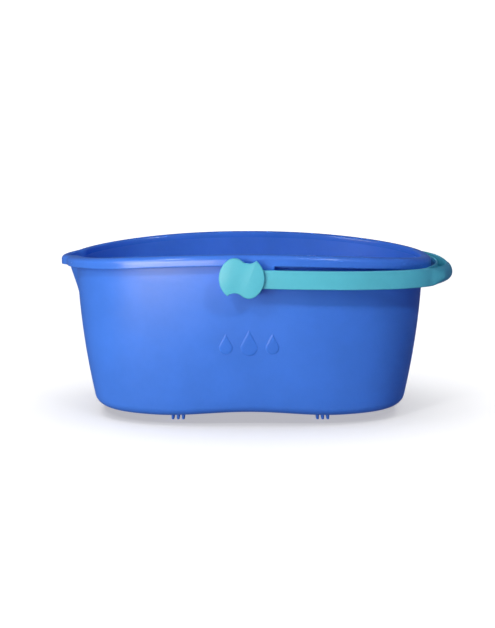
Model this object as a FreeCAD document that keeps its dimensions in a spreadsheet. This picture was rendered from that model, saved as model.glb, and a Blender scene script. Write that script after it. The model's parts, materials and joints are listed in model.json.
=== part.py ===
import FreeCAD, Part
import math
import os

import Sketcher
from FreeCAD import Vector

# Oval mop bucket with a carry handle.
# Every body is drawn about the middle of the bucket: X along the length with the pouring lip
# at -X, Y across it with the front at -Y, Z up from the floor under the feet. One shift along X
# then puts the middle of the whole footprint, folded handle and lip included, on the origin.

# alias, value in millimetres (or a plain count), what it is
SIZES = [
    ("frame_shift", -7.4, "the bucket's middle, along X from the middle of the footprint"),
    # rim: an oval of four tangent arcs, arched so that its ends are lower than its middle
    ("rim_length", 226.0, "half length of the rim's outer edge"),
    ("rim_depth", 137.0, "half depth of the rim's outer edge"),
    ("rim_radius", 123.0, "radius of the oval's two end arcs"),
    ("crest_height", 210.0, "highest point of the rim above the floor"),
    ("crest_radius", 1733.0, "radius of the rim's arch, seen from the front"),
    ("skirt_height", 12.5, "height of the turned-down skirt"),
    ("skirt_wall", 2.2, "thickness of the skirt"),
    ("flange_thickness", 2.6, "thickness of the rim's flange"),
    # tub: a loft through four ovals, thin walled
    ("mouth_level", 216.0, "level of the top section, above the arch"),
    ("mouth_length", 217.2, "its half length"),
    ("mouth_depth", 127.5, "its half depth"),
    ("mouth_radius", 114.0, "its end radius"),
    ("chest_level", 146.0, "level of the upper section"),
    ("chest_length", 214.2, "its half length"),
    ("chest_depth", 124.6, "its half depth"),
    ("chest_radius", 112.0, "its end radius"),
    ("waist_level", 80.0, "level of the lower section"),
    ("waist_length", 208.0, "its half length"),
    ("waist_depth", 118.6, "its half depth"),
    ("waist_radius", 108.0, "its end radius"),
    ("base_level", 13.0, "level of the tub's underside"),
    ("base_length", 194.8, "its half length, before the rounding"),
    ("base_depth", 106.5, "its half depth, before the rounding"),
    ("base_radius", 100.0, "its end radius"),
    ("wall", 2.2, "wall thickness of the tub"),
    ("floor_thickness", 2.6, "thickness of the tub's floor"),
    ("base_round", 11.0, "outer rounding between wall and floor"),
    ("floor_round", 8.8, "inner rounding between wall and floor"),
    ("crown_rise", 5.0, "rise of the floor's crown"),
    ("crown_half_width", 110.0, "half width of the crown"),
    ("crown_half_depth", 90.0, "half depth of the crown"),
    # pouring lip: a cone that leans out of the left end
    ("lip_centre", 190.0, "distance of the lip's axis from the middle, towards -X"),
    ("lip_foot_level", 147.0, "level where the lip leaves the wall"),
    ("lip_foot_radius", 23.4, "outer radius of the lip's cone there"),
    ("lip_mouth_radius", 44.0, "outer radius of the cone at the mouth level"),
    ("lip_rim_radius", 44.0, "radius of the rim round the lip"),
    # pivots and their stops
    ("pivot_offset", -8.3, "the pivot axis, along X from the middle"),
    ("pivot_height", 185.3, "the pivot axis above the floor"),
    ("pin_radius", 7.0, "radius of the pivot pins"),
    ("pin_clearance", 0.08, "radial clearance of the pins in the bosses"),
    ("boss_half_width", 27.7, "half width of the pivot bosses"),
    ("boss_low", 172.0, "lower end of the bosses"),
    ("boss_roof", 203.0, "top of the hollow behind a boss's front plate"),
    ("plate_back", 134.4, "distance of the front plates' backs from the middle plane"),
    ("stop_circle", 17.0, "distance of the stops from the pivot"),
    ("stop_radius", 2.8, "radius of the stop pegs and lugs"),
    ("stop_angle", 19.6, "angle between a lug and the peg it rests on, in degrees"),
    ("stop_face", 139.1, "distance of the stop pegs' ends from the middle plane"),
    # feet: four groups of three short ribs
    ("foot_span", 88.3, "distance of a group from the middle, along X"),
    ("foot_pitch", 6.3, "distance between ribs"),
    ("foot_width", 3.6, "thickness of a rib"),
    ("foot_near", 58.0, "inner end of a rib from the middle plane"),
    ("foot_far", 72.0, "outer end of a rib from the middle plane"),
    ("foot_height", 16.6, "height of a rib, its root inside the floor included"),
    # handle
    ("arm_inner_length", 232.0, "half length of the oval inside the arms"),
    ("arm_inner_depth", 140.0, "half depth of the oval inside the arms"),
    ("arm_inner_radius", 128.0, "its end radius"),
    ("arm_outer_length", 238.0, "half length of the oval outside the arms"),
    ("arm_outer_depth", 146.0, "half depth of the oval outside the arms"),
    ("arm_outer_radius", 134.0, "its end radius"),
    ("grip_top", 189.0, "top edge of the grip"),
    ("grip_bottom", 167.6, "underside of the grip"),
    ("droop_radius", 2386.0, "radius of the arms' droop"),
    ("droop_end", 162.0, "where the droop ends, along X"),
    ("grip_radius", 159.0, "radius of the grip's outer face, in plan"),
    ("grip_centre", 91.5, "centre of that arc, along X"),
    ("grip_start", 186.0, "where the arms widen into the grip, along X"),
    ("grip_shoulder", 102.0, "half depth of the grip's shoulders"),
    ("grip_wall", 2.2, "wall thickness of the channel"),
    ("channel_half_depth", 88.0, "half depth of the channel in the grip"),
    ("shoulder_round", 12.0, "rounding of the grip's shoulders"),
    ("eye_radius", 15.5, "radius of the arms' eyes"),
    ("eye_face", 146.3, "distance of the eyes' outer faces from the middle plane"),
    ("collar_radius", 11.0, "radius of the bearing collars inside the eyes"),
    ("collar_face", 137.6, "distance of the collars' faces from the middle plane"),
    # pivot caps
    ("cap_radius", 25.7, "radius of the cap's round sides"),
    ("cap_lobe_radius", 12.6, "radius of the cap's lobes"),
    ("cap_notch_radius", 11.7, "radius of the cap's notches"),
    ("cap_lobe_offset", 8.1, "distance of lobes and notches from the pivot, along X"),
    ("cap_thickness", 3.4, "thickness of the cap's disc"),
    ("cap_round", 0.9, "rounding of the disc's outer edge"),
    ("lip_start", 134.3, "where the snap lips start, from the middle plane"),
    ("lip_radius", 8.3, "radius of the snap lips"),
    ("pin_end", 129.0, "end of the pin, from the middle plane"),
    ("pin_nose", 6.2, "radius of the pin's end"),
    ("split_width", 3.0, "width of the split between the snap legs"),
    ("split_depth", 14.0, "depth of the split"),
    # drawing room: far enough outside the bucket for a cutting outline
    ("clear_reach", 280.0, "half length of the cutting outlines"),
    ("clear_top", 260.0, "top of the cutting outlines"),
    ("clear_bottom", -20.0, "bottom of the cutting outlines"),
    ("overlap", 1.0, "how far a cut runs past what it cuts"),
]

document = FreeCAD.newDocument("mop_bucket")
sheet = document.addObject("Spreadsheet::Sheet", "sizes")
for row, (alias, value, meaning) in enumerate(SIZES, start=1):
    sheet.set(f"A{row}", meaning)
    sheet.set(f"B{row}", str(value))
    sheet.setAlias(f"B{row}", alias)
document.recompute()

SIZE_VALUES = {alias: value for alias, value, _ in SIZES}


def cell(formula):
    """Write a formula of size names the way the sheet's cells are read."""
    return " ".join("sizes." + word if word in SIZE_VALUES else word for word in formula.split())


def number(formula):
    """Add up the same names and numbers, for the first shape of a sketch."""
    total = 0.0
    sign = 1.0
    for word in formula.split():
        if word in ("+", "-"):
            sign = 1.0 if word == "+" else -1.0
        else:
            total += sign * (SIZE_VALUES[word] if word in SIZE_VALUES else float(word))
    return total


# ---------------------------------------------------------------- sketch helpers
RIGHT_HANDED = Vector(0, 0, 1)
START, END, CENTRE = 1, 2, 3
ORIGIN = (-1, 1)
X_AXIS, Y_AXIS = -1, -2


def new_body(label):
    body = document.addObject("PartDesign::Body", label)
    body.Label = label
    return body


def new_sketch(body, name, plane, offset=None):
    """Attach a sketch to one of the body's own origin planes, some way along its normal."""
    sketch = body.newObject("Sketcher::SketchObject", name)
    for feature in body.Origin.OriginFeatures:
        if feature.Role == plane:
            sketch.AttachmentSupport = [(feature, "")]
    sketch.MapMode = "FlatFace"
    if offset is not None:
        sketch.setExpression(".AttachmentOffset.Base.z", cell(offset))
    return sketch


def arc(x, y, radius, start, end):
    return Part.ArcOfCircle(Part.Circle(Vector(x, y, 0), RIGHT_HANDED, radius), start, end)


def segment(x1, y1, x2, y2):
    return Part.LineSegment(Vector(x1, y1, 0), Vector(x2, y2, 0))


def relate(sketch, kind, *items):
    sketch.addConstraint(Sketcher.Constraint(kind, *items))


def drive(sketch, kind, *items):
    """Add a dimension whose last item is a formula of size names, and bind it to the sheet."""
    formula = items[-1]
    index = sketch.addConstraint(Sketcher.Constraint(kind, *items[:-1], number(formula)))
    sketch.setExpression(f"Constraints[{index}]", cell(formula))


def draw_oval(sketch, shape, inset="0"):
    """Draw the oval named by three sizes, all made smaller by the inset.

    Two end arcs and two side arcs meet tangentially, so only the side arcs' radius is worked out.
    """
    length = number(f"{shape}_length - {inset}")
    depth = number(f"{shape}_depth - {inset}")
    radius = number(f"{shape}_radius - {inset}")
    reach = length - radius
    side = (reach**2 + depth**2 - radius**2) / (2 * (depth - radius))
    drop = side - depth
    turn = math.atan2(drop, reach)
    right, top, left, bottom = sketch.addGeometry([
        arc(reach, 0, radius, -turn, turn),
        arc(0, -drop, side, turn, math.pi - turn),
        arc(-reach, 0, radius, math.pi - turn, math.pi + turn),
        arc(0, drop, side, math.pi + turn, 2 * math.pi - turn),
    ], False)
    ring = (right, top, left, bottom)
    for first, second in zip(ring, ring[1:] + ring[:1]):
        relate(sketch, "Tangent", first, END, second, START)
    for end_arc in (right, left):
        relate(sketch, "PointOnObject", end_arc, CENTRE, X_AXIS)
    relate(sketch, "Equal", right, left)
    relate(sketch, "Equal", top, bottom)
    drive(sketch, "DistanceX", *ORIGIN, right, CENTRE, f"{shape}_length - {shape}_radius")
    drive(sketch, "DistanceX", left, CENTRE, *ORIGIN, f"{shape}_length - {shape}_radius")
    drive(sketch, "Radius", right, f"{shape}_radius - {inset}")
    index = sketch.addConstraint(Sketcher.Constraint("Radius", top, side))
    reach_squared = f"( {shape}_length - {shape}_radius ) ^ 2"
    depth_squared = f"( {shape}_depth - {inset} ) ^ 2"
    radius_squared = f"( {shape}_radius - {inset} ) ^ 2"
    sketch.setExpression(
        f"Constraints[{index}]",
        cell(f"( {reach_squared} + {depth_squared} - {radius_squared} ) "
             f"/ ( 2 * ( {shape}_depth - {shape}_radius ) )"),
    )


def draw_circle(sketch, x, y, radius):
    """Draw a circle at two distances from the origin, each a formula or "0"."""
    circle = sketch.addGeometry(
        Part.Circle(Vector(number(x), number(y), 0), RIGHT_HANDED, number(radius)), False)
    for kind, axis, place in (("DistanceX", Y_AXIS, x), ("DistanceY", X_AXIS, y)):
        if place == "0":
            relate(sketch, "PointOnObject", circle, CENTRE, axis)
        else:
            drive(sketch, kind, *ORIGIN, circle, CENTRE, place)
    drive(sketch, "Radius", circle, radius)
    return circle


def draw_rectangle(sketch, left, bottom, right, top):
    """Draw an upright rectangle between two corners, each coordinate a formula."""
    x1, y1, x2, y2 = (number(place) for place in (left, bottom, right, top))
    low, far, high, near = sketch.addGeometry([
        segment(x1, y1, x2, y1),
        segment(x2, y1, x2, y2),
        segment(x2, y2, x1, y2),
        segment(x1, y2, x1, y1),
    ], False)
    ring = (low, far, high, near)
    for first, second in zip(ring, ring[1:] + ring[:1]):
        relate(sketch, "Coincident", first, END, second, START)
    for line in (low, high):
        relate(sketch, "Horizontal", line)
    for line in (far, near):
        relate(sketch, "Vertical", line)
    drive(sketch, "DistanceX", *ORIGIN, low, START, left)
    drive(sketch, "DistanceY", *ORIGIN, low, START, bottom)
    drive(sketch, "DistanceX", *ORIGIN, high, START, right)
    drive(sketch, "DistanceY", *ORIGIN, high, START, top)


# ---------------------------------------------------------------- feature helpers
def extrude(body, kind, sketch, length, both_ways=False, reverse=False):
    """Pad or pocket a sketch by a formula's length, to one side or half to each side."""
    feature = body.newObject("PartDesign::" + kind, kind + sketch.Name)
    feature.Profile = sketch
    feature.setExpression("Length", cell(length))
    feature.Midplane = both_ways
    feature.Reversed = reverse
    return feature


def pocket_through(body, sketch):
    """Cut a sketch's outline right through the body, both ways."""
    feature = body.newObject("PartDesign::Pocket", "Cut" + sketch.Name)
    feature.Profile = sketch
    feature.setExpression("Length", cell("2 * clear_reach"))
    feature.Midplane = True
    return feature


def loft(body, kind, name, sections):
    feature = body.newObject("PartDesign::" + kind, name)
    feature.Profile = sections[0]
    feature.Sections = sections[1:]
    return feature


def round_edges(body, name, radius, is_wanted):
    """Round every edge of the body's present shape for which is_wanted holds."""
    document.recompute()
    base = body.Tip
    names = [f"Edge{i}" for i, edge in enumerate(base.Shape.Edges, start=1) if is_wanted(edge)]
    feature = body.newObject("PartDesign::Fillet", name)
    feature.Base = (base, names)
    feature.setExpression("Radius", cell(radius))
    return feature


TOUCH = 0.01


def edge_points(edge, count=7):
    return edge.discretize(Number=count)


# ---------------------------------------------------------------- bucket shell
TUB_SECTIONS = ("base", "waist", "chest", "mouth")


def draw_arch(sketch, drop, outer_edge):
    """Outline the region between the rim's arch, lowered by drop, and a level outer edge."""
    radius = number("crest_radius") - number(drop)
    centre = number("crest_height") - number("crest_radius")
    reach = number("clear_reach")
    level = number(outer_edge)
    turn = math.asin(reach / radius)
    end_level = centre + radius * math.cos(turn)
    quarter = math.pi / 2
    crest, left, edge, right = sketch.addGeometry([
        arc(0, centre, radius, quarter - turn, quarter + turn),
        segment(-reach, end_level, -reach, level),
        segment(-reach, level, reach, level),
        segment(reach, level, reach, end_level),
    ], False)
    relate(sketch, "Coincident", crest, END, left, START)
    relate(sketch, "Coincident", left, END, edge, START)
    relate(sketch, "Coincident", edge, END, right, START)
    relate(sketch, "Coincident", right, END, crest, START)
    relate(sketch, "Vertical", left)
    relate(sketch, "Vertical", right)
    relate(sketch, "Horizontal", edge)
    relate(sketch, "PointOnObject", crest, CENTRE, Y_AXIS)
    drive(sketch, "Radius", crest, f"crest_radius - {drop}")
    drive(sketch, "DistanceY", *ORIGIN, crest, CENTRE, "crest_height - crest_radius")
    drive(sketch, "DistanceX", edge, START, *ORIGIN, "clear_reach")
    drive(sketch, "DistanceX", *ORIGIN, edge, END, "clear_reach")
    drive(sketch, "DistanceY", *ORIGIN, edge, START, outer_edge)


def add_rim(body):
    """Raise the rim: an arched flange over the tub's mouth, with a skirt turned down round it."""
    height = "mouth_level - chest_level"
    for name, is_ring in (("Flange", False), ("Skirt", True)):
        outline = new_sketch(body, name + "Outline", "XY_Plane", "chest_level")
        draw_oval(outline, "rim")
        if is_ring:
            draw_oval(outline, "rim", "skirt_wall")
        extrude(body, "Pad", outline, height)
        lip = new_sketch(body, name + "Lip", "XY_Plane", "chest_level")
        draw_circle(lip, "0 - lip_centre", "0", "lip_rim_radius")
        if is_ring:
            draw_circle(lip, "0 - lip_centre", "0", "lip_rim_radius - skirt_wall")
        extrude(body, "Pad", lip, height)
        under = new_sketch(body, name + "Under", "XZ_Plane")
        draw_arch(under, "skirt_height" if is_ring else "flange_thickness", "clear_bottom")
        pocket_through(body, under)


def add_tub(body):
    sections = []
    for name in TUB_SECTIONS:
        section = new_sketch(body, name.title() + "Outer", "XY_Plane", name + "_level")
        draw_oval(section, name)
        sections.append(section)
    loft(body, "AdditiveLoft", "TubOuter", sections)
    add_lip_cone(body, "AdditiveLoft", "LipOuter", "0")


def add_lip_cone(body, kind, name, inset):
    """Lean a cone out of the left end, from where it leaves the wall up to the mouth."""
    sections = []
    for place in ("foot", "mouth"):
        level = "lip_foot_level" if place == "foot" else "mouth_level"
        section = new_sketch(body, name + place.title(), "XY_Plane", level)
        draw_circle(section, "0 - lip_centre", "0", f"lip_{place}_radius - {inset}")
        sections.append(section)
    loft(body, kind, name, sections)


def add_bosses(body):
    """Raise a boss at the front and the back: a plate with side walls, a bore and two stop pegs.

    The bosses come before the tub, whose wall then closes their hollows towards the inside.
    """
    block = new_sketch(body, "BossBlock", "XZ_Plane")
    draw_rectangle(block, "0 - boss_half_width", "boss_low", "boss_half_width",
                   "crest_height - skirt_wall")
    extrude(body, "Pad", block, "2 * rim_depth", both_ways=True)
    pegs = new_sketch(body, "StopPegs", "XZ_Plane")
    for side in (1, -1):
        draw_peg(pegs, side)
    extrude(body, "Pad", pegs, "2 * stop_face", both_ways=True)
    hollow = new_sketch(body, "BossHollow", "XZ_Plane")
    draw_rectangle(hollow, "skirt_wall - boss_half_width", "boss_low - overlap",
                   "boss_half_width - skirt_wall", "boss_roof")
    extrude(body, "Pocket", hollow, "2 * plate_back", both_ways=True)
    bores = new_sketch(body, "PivotBores", "XZ_Plane")
    draw_circle(bores, "pivot_offset", "pivot_height", "pin_radius + pin_clearance")
    pocket_through(body, bores)


def draw_peg(sketch, side):
    """Draw the stop peg that the handle's lug rests on at one end of its swing."""
    turn = math.radians(SIZE_VALUES["stop_angle"])
    x = SIZE_VALUES["pivot_offset"] + side * SIZE_VALUES["stop_circle"] * math.cos(turn)
    z = SIZE_VALUES["pivot_height"] - SIZE_VALUES["stop_circle"] * math.sin(turn)
    peg = sketch.addGeometry(
        Part.Circle(Vector(x, z, 0), RIGHT_HANDED, SIZE_VALUES["stop_radius"]), False)
    drive(sketch, "Radius", peg, "stop_radius")
    sign = "+" if side > 0 else "-"
    across = f"pivot_offset {sign} stop_circle * cos( stop_angle * 1 deg )"
    up = "pivot_height - stop_circle * sin( stop_angle * 1 deg )"
    for kind, value, formula in (("DistanceX", x, across), ("DistanceY", z, up)):
        index = sketch.addConstraint(Sketcher.Constraint(kind, *ORIGIN, peg, CENTRE, value))
        sketch.setExpression(f"Constraints[{index}]", cell(formula))


def hollow_tub(body):
    sections = []
    for name in TUB_SECTIONS:
        rise = " + floor_thickness" if name == "base" else ""
        section = new_sketch(body, name.title() + "Inner", "XY_Plane", name + "_level" + rise)
        draw_oval(section, name, "wall")
        sections.append(section)
    loft(body, "SubtractiveLoft", "TubInner", sections)
    add_lip_cone(body, "SubtractiveLoft", "LipInner", "wall")


def add_crown(body):
    """Raise the middle of the floor into a shallow crown that runs from front to back."""
    for name, lift, kind in (("CrownTop", "floor_thickness", "Pad"), ("CrownUnder", "0", "Pocket")):
        sketch = new_sketch(body, name, "XZ_Plane")
        rise = SIZE_VALUES["crown_rise"]
        half = SIZE_VALUES["crown_half_width"]
        level = number("base_level + " + lift)
        radius = (half**2 + rise**2) / (2 * rise)
        turn = math.asin(half / radius)
        quarter = math.pi / 2
        bow, chord = sketch.addGeometry([
            arc(0, level + rise - radius, radius, quarter - turn, quarter + turn),
            segment(-half, level, half, level),
        ], False)
        relate(sketch, "Coincident", bow, END, chord, START)
        relate(sketch, "Coincident", bow, START, chord, END)
        relate(sketch, "PointOnObject", bow, CENTRE, Y_AXIS)
        relate(sketch, "Horizontal", chord)
        drive(sketch, "DistanceX", *ORIGIN, chord, END, "crown_half_width")
        drive(sketch, "DistanceY", *ORIGIN, chord, END, "base_level + " + lift)
        index = sketch.addConstraint(Sketcher.Constraint("Radius", bow, radius))
        sketch.setExpression(
            f"Constraints[{index}]",
            cell("( crown_half_width ^ 2 + crown_rise ^ 2 ) / ( 2 * crown_rise )"),
        )
        extrude(body, kind, sketch, "2 * crown_half_depth", both_ways=True)


def add_feet(body):
    feet = new_sketch(body, "FootRibs", "XY_Plane")
    for side in ("", "0 - "):
        for step in (" - foot_pitch", "", " + foot_pitch"):
            if side:
                step = step.replace("+", "#").replace("-", "+").replace("#", "-")
            place = side + "foot_span" + step
            for near, far in (("foot_near", "foot_far"), ("0 - foot_far", "0 - foot_near")):
                draw_foot(feet, place, near, far)
    extrude(body, "Pad", feet, "foot_height")


def draw_foot(sketch, place, near, far):
    """Draw one rib's footprint: a rectangle about its middle line."""
    middle = number(place)
    half = SIZE_VALUES["foot_width"] / 2
    y1, y2 = number(near), number(far)
    low, right, high, left = sketch.addGeometry([
        segment(middle - half, y1, middle + half, y1),
        segment(middle + half, y1, middle + half, y2),
        segment(middle + half, y2, middle - half, y2),
        segment(middle - half, y2, middle - half, y1),
    ], False)
    ring = (low, right, high, left)
    for first, second in zip(ring, ring[1:] + ring[:1]):
        relate(sketch, "Coincident", first, END, second, START)
    for line in (low, high):
        relate(sketch, "Horizontal", line)
    for line in (right, left):
        relate(sketch, "Vertical", line)
    drive_formula(sketch, low, START, "DistanceX", middle - half, f"{place} - foot_width / 2")
    drive(sketch, "DistanceY", *ORIGIN, low, START, near)
    drive_formula(sketch, high, START, "DistanceX", middle + half, f"{place} + foot_width / 2")
    drive(sketch, "DistanceY", *ORIGIN, high, START, far)


def drive_formula(sketch, item, point, kind, value, formula):
    """Bind a point's distance from the origin to a formula that isn't a plain sum."""
    index = sketch.addConstraint(Sketcher.Constraint(kind, *ORIGIN, item, point, value))
    sketch.setExpression(f"Constraints[{index}]", cell(formula))


def make_bucket_shell():
    body = new_body("bucket_shell")
    add_rim(body)
    add_bosses(body)
    add_tub(body)
    above = new_sketch(body, "AboveRim", "XZ_Plane")
    draw_arch(above, "0", "clear_top")
    pocket_through(body, above)
    hollow_tub(body)
    for name, radius, level in (
        ("FloorRound", "floor_round", "base_level + floor_thickness"),
        ("BaseRound", "base_round", "base_level"),
    ):
        height = number(level)
        round_edges(body, name, radius,
                    lambda edge: all(abs(point.z - height) < TOUCH for point in edge_points(edge)))
    add_crown(body)
    add_feet(body)
    return body


# ---------------------------------------------------------------- carry handle
def draw_grip(sketch):
    """Outline the grip's lens: its round outer face, two shoulders and a chord behind."""
    radius = number("grip_radius")
    centre = number("grip_centre")
    start = number("grip_start")
    depth = number("grip_shoulder")
    turn = math.asin(depth / radius)
    tip = centre + radius * math.cos(turn)
    face, top, chord, bottom = sketch.addGeometry([
        arc(centre, 0, radius, -turn, turn),
        segment(tip, depth, start, depth),
        segment(start, depth, start, -depth),
        segment(start, -depth, tip, -depth),
    ], False)
    ring = (face, top, chord, bottom)
    for first, second in zip(ring, ring[1:] + ring[:1]):
        relate(sketch, "Coincident", first, END, second, START)
    relate(sketch, "Horizontal", top)
    relate(sketch, "Vertical", chord)
    relate(sketch, "Horizontal", bottom)
    relate(sketch, "PointOnObject", face, CENTRE, X_AXIS)
    drive(sketch, "DistanceX", *ORIGIN, face, CENTRE, "grip_centre")
    drive(sketch, "Radius", face, "grip_radius")
    drive(sketch, "DistanceX", *ORIGIN, chord, START, "grip_start")
    drive(sketch, "DistanceY", *ORIGIN, chord, START, "grip_shoulder")
    drive(sketch, "DistanceY", chord, END, *ORIGIN, "grip_shoulder")


def draw_channel(sketch):
    """Outline the channel in the grip, between its outer wall and its inner wall."""
    half = number("channel_half_depth")
    outer = number("grip_radius - grip_wall")
    outer_centre = number("grip_centre")
    inner = number("arm_inner_radius + grip_wall")
    inner_centre = number("arm_inner_length - arm_inner_radius")
    outer_turn = math.asin(half / outer)
    inner_turn = math.asin(half / inner)
    outer_end = outer_centre + outer * math.cos(outer_turn)
    inner_end = inner_centre + inner * math.cos(inner_turn)
    far, top, near, bottom = sketch.addGeometry([
        arc(outer_centre, 0, outer, -outer_turn, outer_turn),
        segment(outer_end, half, inner_end, half),
        arc(inner_centre, 0, inner, -inner_turn, inner_turn),
        segment(inner_end, -half, outer_end, -half),
    ], False)
    relate(sketch, "Coincident", far, END, top, START)
    relate(sketch, "Coincident", top, END, near, END)
    relate(sketch, "Coincident", near, START, bottom, START)
    relate(sketch, "Coincident", bottom, END, far, START)
    relate(sketch, "Horizontal", top)
    relate(sketch, "Horizontal", bottom)
    for bow, centre, radius in (
        (far, "grip_centre", "grip_radius - grip_wall"),
        (near, "arm_inner_length - arm_inner_radius", "arm_inner_radius + grip_wall"),
    ):
        relate(sketch, "PointOnObject", bow, CENTRE, X_AXIS)
        drive(sketch, "DistanceX", *ORIGIN, bow, CENTRE, centre)
        drive(sketch, "Radius", bow, radius)
    drive(sketch, "DistanceY", *ORIGIN, top, START, "channel_half_depth")
    drive(sketch, "DistanceY", bottom, START, *ORIGIN, "channel_half_depth")


def draw_side_view(sketch):
    """Outline the handle from the front: a round eye, two drooping edges and a level grip."""
    pivot = number("pivot_offset")
    height = number("pivot_height")
    eye = number("eye_radius")
    droop = number("droop_radius")
    end = number("droop_end")
    reach = number("clear_reach")
    quarter = math.pi / 2

    def droop_arc(level):
        """Start of a droop that ends level: where its circle meets the eye's."""
        centre = Vector(end, level + droop, 0)
        across = centre - Vector(pivot, height, 0)
        distance = across.Length
        along = (eye**2 - droop**2 + distance**2) / (2 * distance)
        aside = math.sqrt(eye**2 - along**2)
        unit = across * (1 / distance)
        points = [
            Vector(pivot, height, 0) + unit * along + Vector(-unit.y, unit.x, 0) * aside * side
            for side in (1, -1)
        ]
        meeting = max(points, key=lambda point: point.x)
        return centre, meeting

    top_centre, top_point = droop_arc(number("grip_top"))
    low_centre, low_point = droop_arc(number("grip_bottom"))

    def angle(point, centre):
        return math.atan2(point.y - centre.y, point.x - centre.x)

    pivot_point = Vector(pivot, height, 0)
    top, low = number("grip_top"), number("grip_bottom")
    eye_arc, upper, upper_edge, far, lower_edge, lower = sketch.addGeometry([
        arc(pivot, height, eye, angle(top_point, pivot_point), angle(low_point, pivot_point)
            + 2 * math.pi),
        arc(end, top_centre.y, droop, angle(top_point, top_centre), -quarter),
        segment(end, top, reach, top),
        segment(reach, top, reach, low),
        segment(reach, low, end, low),
        arc(end, low_centre.y, droop, angle(low_point, low_centre), -quarter),
    ], False)
    relate(sketch, "Coincident", eye_arc, START, upper, START)
    relate(sketch, "Tangent", upper, END, upper_edge, START)
    relate(sketch, "Coincident", upper_edge, END, far, START)
    relate(sketch, "Coincident", far, END, lower_edge, START)
    relate(sketch, "Tangent", lower_edge, END, lower, END)
    relate(sketch, "Coincident", lower, START, eye_arc, END)
    relate(sketch, "Horizontal", upper_edge)
    relate(sketch, "Vertical", far)
    relate(sketch, "Horizontal", lower_edge)
    drive(sketch, "DistanceX", *ORIGIN, eye_arc, CENTRE, "pivot_offset")
    drive(sketch, "DistanceY", *ORIGIN, eye_arc, CENTRE, "pivot_height")
    drive(sketch, "Radius", eye_arc, "eye_radius")
    drive(sketch, "Radius", upper, "droop_radius")
    drive(sketch, "Radius", lower, "droop_radius")
    drive(sketch, "DistanceX", *ORIGIN, upper_edge, START, "droop_end")
    drive(sketch, "DistanceX", *ORIGIN, lower_edge, END, "droop_end")
    drive(sketch, "DistanceY", *ORIGIN, upper_edge, START, "grip_top")
    drive(sketch, "DistanceY", *ORIGIN, lower_edge, END, "grip_bottom")
    drive(sketch, "DistanceX", *ORIGIN, far, START, "clear_reach")


def is_shoulder_corner(edge):
    """Whether an edge is upright and stands at the end of one of the grip's shoulders."""
    points = edge_points(edge)
    upright = abs(points[0].z - points[-1].z) > SIZE_VALUES["shoulder_round"]
    return upright and all(abs(abs(point.y) - SIZE_VALUES["grip_shoulder"]) < TOUCH
                           for point in points)


def make_carry_handle():
    body = new_body("carry_handle")
    height = "clear_top - chest_level"
    for name, draw in (("ArmsOutline", lambda sketch: draw_oval(sketch, "arm_outer")),
                       ("GripOutline", draw_grip)):
        outline = new_sketch(body, name, "XY_Plane", "chest_level")
        draw(outline)
        extrude(body, "Pad", outline, height)
    eyes = new_sketch(body, "EyeDiscs", "XZ_Plane")
    draw_circle(eyes, "pivot_offset", "pivot_height", "eye_radius")
    extrude(body, "Pad", eyes, "2 * eye_face", both_ways=True)
    inside = new_sketch(body, "InsideArms", "XY_Plane")
    draw_oval(inside, "arm_inner")
    pocket_through(body, inside)
    silhouette = new_sketch(body, "OutsideSideView", "XZ_Plane")
    draw_rectangle(silhouette, "0 - clear_reach - overlap", "clear_bottom",
                   "clear_reach + overlap", "clear_top")
    draw_side_view(silhouette)
    pocket_through(body, silhouette)
    round_edges(body, "ShoulderRound", "shoulder_round", is_shoulder_corner)
    channel = new_sketch(body, "GripChannel", "XY_Plane", "grip_bottom + grip_wall")
    draw_channel(channel)
    extrude(body, "Pocket", channel, height, reverse=True)
    bearings = new_sketch(body, "CollarsAndLugs", "XZ_Plane")
    draw_circle(bearings, "pivot_offset", "pivot_height", "collar_radius")
    draw_circle(bearings, "pivot_offset + stop_circle", "pivot_height", "stop_radius")
    extrude(body, "Pad", bearings, "2 * arm_inner_depth + overlap", both_ways=True)
    between = new_sketch(body, "BetweenCollars", "XZ_Plane")
    draw_rectangle(between, "pivot_offset - boss_half_width", "pivot_height - boss_half_width",
                   "pivot_offset + boss_half_width", "pivot_height + boss_half_width")
    extrude(body, "Pocket", between, "2 * collar_face", both_ways=True)
    holes = new_sketch(body, "EyeHoles", "XZ_Plane")
    draw_circle(holes, "pivot_offset", "pivot_height", "pin_radius")
    pocket_through(body, holes)
    return body


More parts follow.
